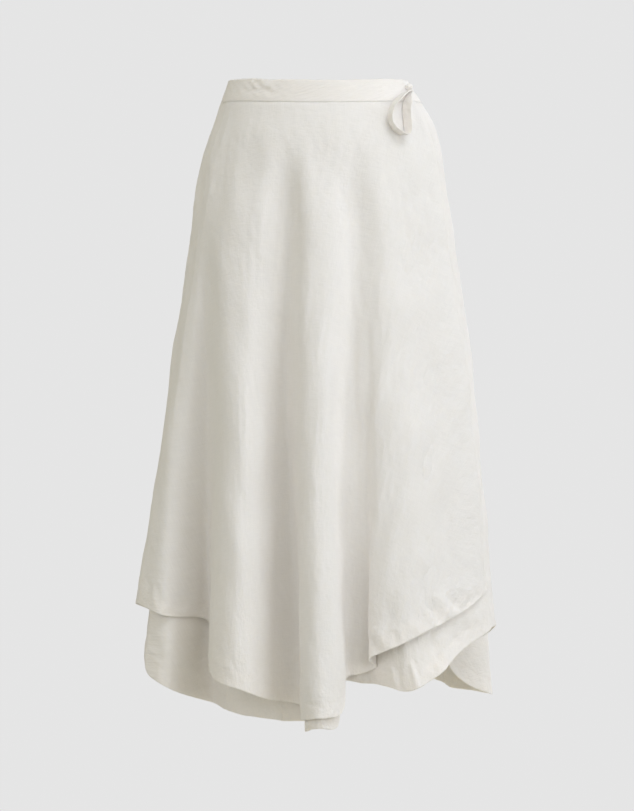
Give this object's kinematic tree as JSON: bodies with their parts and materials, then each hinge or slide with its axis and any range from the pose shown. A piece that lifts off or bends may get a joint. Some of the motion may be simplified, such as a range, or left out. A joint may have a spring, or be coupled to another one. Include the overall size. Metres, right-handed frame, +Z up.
{
  "type": "wrap skirt",
  "caption": "Midi wrap skirt in plain linen: overlapping fronts with curved hems, flared back, folded waistband and a side tie.",
  "frame": {"origin": "middle of the waist ring, halfway up the waistband", "axes": "+Z up, the front of the skirt faces -Y, +X towards the side where the tie is"},
  "size_m": [0.5048, 0.3869, 0.8976],
  "materials": {
    "linen": "plain weave ivory linen, matt"
  },
  "bodies": {
    "root": {"over_front": "linen", "under_front": "linen", "back": "linen", "waistband": "linen", "tie_knot": "linen", "tie_loop": "linen"}
  },
  "joints": []
}
